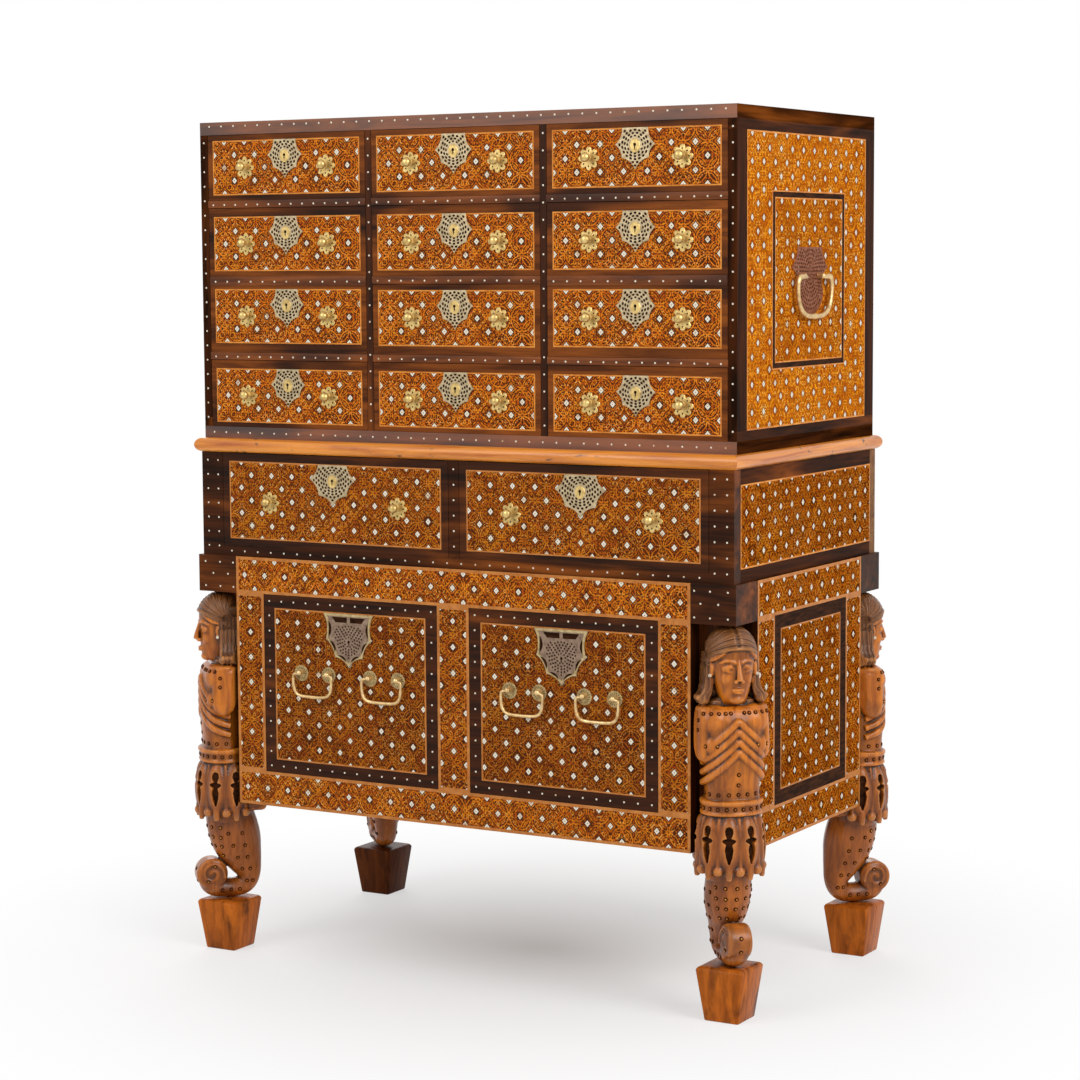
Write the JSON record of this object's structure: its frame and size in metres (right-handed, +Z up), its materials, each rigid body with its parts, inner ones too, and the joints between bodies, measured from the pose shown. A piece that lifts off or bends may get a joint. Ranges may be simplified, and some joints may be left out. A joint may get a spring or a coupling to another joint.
{
  "type": "cabinet on stand",
  "caption": "Inlaid cabinet of drawers on a stand with wide and deep drawers, brass pulls and swinging bails, on four carved figure legs with scrolled tails.",
  "frame": {"origin": "on the floor under the middle of the cabinet", "axes": "+Z up, the front with its drawers faces -Y, +X to the viewer's right"},
  "size_m": [0.994, 0.5522, 1.3],
  "materials": {
    "dark_rosewood": "waxed rosewood and ebony veneer",
    "inlaid_teak": "waxed teak with ivory, ebony and light-wood inlay",
    "light_nosing": "waxed light teak",
    "carved_teak": "carved and waxed teak",
    "carcass_wood": "planed teak",
    "brass": "pierced and polished, aged"
  },
  "bodies": {
    "carcass": {"cabinet_top": "dark_rosewood", "cabinet_bottom": "dark_rosewood", "cabinet_right_side": "inlaid_teak", "cabinet_left_side": "inlaid_teak", "cabinet_back": "carcass_wood", "cabinet_partitions": "dark_rosewood", "cabinet_dust_boards": "dark_rosewood", "table_nosing": "light_nosing", "stand_top": "light_nosing", "frieze_front_frame": "dark_rosewood", "frieze_sides": "inlaid_teak", "frieze_back": "carcass_wood", "frieze_dust_board_and_guides": "carcass_wood", "body_front_frame": "inlaid_teak", "body_sides": "inlaid_teak", "body_back": "carcass_wood", "body_notch_boards": "dark_rosewood", "body_bottom_boards": "carcass_wood", "body_partition_and_runners": "carcass_wood", "corner_caps": "dark_rosewood", "cabinet_side_handle_mounts": "brass", "front_right_leg": "carved_teak", "front_left_leg": "carved_teak", "back_right_leg": "carved_teak", "back_left_leg": "carved_teak"},
    "left_drawer_1": {"left_drawer_1_box": "inlaid_teak", "left_drawer_1_mounts": "brass"},
    "left_double_drawer": {"left_double_drawer_box": "inlaid_teak", "left_double_drawer_mounts": "brass"},
    "left_drawer_4": {"left_drawer_4_box": "inlaid_teak", "left_drawer_4_mounts": "brass"},
    "middle_drawer_1": {"middle_drawer_1_box": "inlaid_teak", "middle_drawer_1_mounts": "brass"},
    "middle_drawer_2": {"middle_drawer_2_box": "inlaid_teak", "middle_drawer_2_mounts": "brass"},
    "middle_drawer_3": {"middle_drawer_3_box": "inlaid_teak", "middle_drawer_3_mounts": "brass"},
    "middle_drawer_4": {"middle_drawer_4_box": "inlaid_teak", "middle_drawer_4_mounts": "brass"},
    "right_drawer_1": {"right_drawer_1_box": "inlaid_teak", "right_drawer_1_mounts": "brass"},
    "right_double_drawer": {"right_double_drawer_box": "inlaid_teak", "right_double_drawer_mounts": "brass"},
    "right_drawer_4": {"right_drawer_4_box": "inlaid_teak", "right_drawer_4_mounts": "brass"},
    "frieze_left_drawer": {"frieze_left_drawer_box": "inlaid_teak", "frieze_left_drawer_mounts": "brass"},
    "frieze_right_drawer": {"frieze_right_drawer_box": "inlaid_teak", "frieze_right_drawer_mounts": "brass"},
    "deep_left_drawer": {"deep_left_drawer_box": "inlaid_teak", "deep_left_drawer_mounts": "brass"},
    "deep_right_drawer": {"deep_right_drawer_box": "inlaid_teak", "deep_right_drawer_mounts": "brass"},
    "deep_left_drawer_left_bail": {"deep_left_drawer_left_bail": "brass"},
    "deep_left_drawer_right_bail": {"deep_left_drawer_right_bail": "brass"},
    "deep_right_drawer_left_bail": {"deep_right_drawer_left_bail": "brass"},
    "deep_right_drawer_right_bail": {"deep_right_drawer_right_bail": "brass"},
    "cabinet_right_bail": {"cabinet_right_bail": "brass"},
    "cabinet_left_bail": {"cabinet_left_bail": "brass"}
  },
  "joints": [
    {"name": "left_drawer_1_slide", "type": "slide", "parent": "carcass", "child": "left_drawer_1", "axis": [0, -1, 0], "range_m": [0, 0.33]},
    {"name": "left_double_drawer_slide", "type": "slide", "parent": "carcass", "child": "left_double_drawer", "axis": [0, -1, 0], "range_m": [0, 0.33]},
    {"name": "left_drawer_4_slide", "type": "slide", "parent": "carcass", "child": "left_drawer_4", "axis": [0, -1, 0], "range_m": [0, 0.33]},
    {"name": "middle_drawer_1_slide", "type": "slide", "parent": "carcass", "child": "middle_drawer_1", "axis": [0, -1, 0], "range_m": [0, 0.33]},
    {"name": "middle_drawer_2_slide", "type": "slide", "parent": "carcass", "child": "middle_drawer_2", "axis": [0, -1, 0], "range_m": [0, 0.33]},
    {"name": "middle_drawer_3_slide", "type": "slide", "parent": "carcass", "child": "middle_drawer_3", "axis": [0, -1, 0], "range_m": [0, 0.33]},
    {"name": "middle_drawer_4_slide", "type": "slide", "parent": "carcass", "child": "middle_drawer_4", "axis": [0, -1, 0], "range_m": [0, 0.33]},
    {"name": "right_drawer_1_slide", "type": "slide", "parent": "carcass", "child": "right_drawer_1", "axis": [0, -1, 0], "range_m": [0, 0.33]},
    {"name": "right_double_drawer_slide", "type": "slide", "parent": "carcass", "child": "right_double_drawer", "axis": [0, -1, 0], "range_m": [0, 0.33]},
    {"name": "right_drawer_4_slide", "type": "slide", "parent": "carcass", "child": "right_drawer_4", "axis": [0, -1, 0], "range_m": [0, 0.33]},
    {"name": "frieze_left_drawer_slide", "type": "slide", "parent": "carcass", "child": "frieze_left_drawer", "axis": [0, -1, 0], "range_m": [0, 0.34]},
    {"name": "frieze_right_drawer_slide", "type": "slide", "parent": "carcass", "child": "frieze_right_drawer", "axis": [0, -1, 0], "range_m": [0, 0.34]},
    {"name": "deep_left_drawer_slide", "type": "slide", "parent": "carcass", "child": "deep_left_drawer", "axis": [0, -1, 0], "range_m": [0, 0.34]},
    {"name": "deep_right_drawer_slide", "type": "slide", "parent": "carcass", "child": "deep_right_drawer", "axis": [0, -1, 0], "range_m": [0, 0.34]},
    {"name": "deep_left_drawer_left_bail_swing", "type": "hinge", "parent": "deep_left_drawer", "child": "deep_left_drawer_left_bail", "pos_m": [-0.24915, -0.2618, 0.4555], "axis": [-1, 0, 0], "range_deg": [0, 95]},
    {"name": "deep_left_drawer_right_bail_swing", "type": "hinge", "parent": "deep_left_drawer", "child": "deep_left_drawer_right_bail", "pos_m": [-0.12315, -0.2618, 0.4555], "axis": [-1, 0, 0], "range_deg": [0, 95]},
    {"name": "deep_right_drawer_left_bail_swing", "type": "hinge", "parent": "deep_right_drawer", "child": "deep_right_drawer_left_bail", "pos_m": [0.12315, -0.2618, 0.4555], "axis": [-1, 0, 0], "range_deg": [0, 95]},
    {"name": "deep_right_drawer_right_bail_swing", "type": "hinge", "parent": "deep_right_drawer", "child": "deep_right_drawer_right_bail", "pos_m": [0.24915, -0.2618, 0.4555], "axis": [-1, 0, 0], "range_deg": [0, 95]},
    {"name": "cabinet_right_bail_swing", "type": "hinge", "parent": "carcass", "child": "cabinet_right_bail", "pos_m": [0.4718, 0, 1.059], "axis": [0, -1, 0], "range_deg": [0, 90]},
    {"name": "cabinet_left_bail_swing", "type": "hinge", "parent": "carcass", "child": "cabinet_left_bail", "pos_m": [-0.4718, 0, 1.059], "axis": [0, 1, 0], "range_deg": [0, 90]}
  ]
}
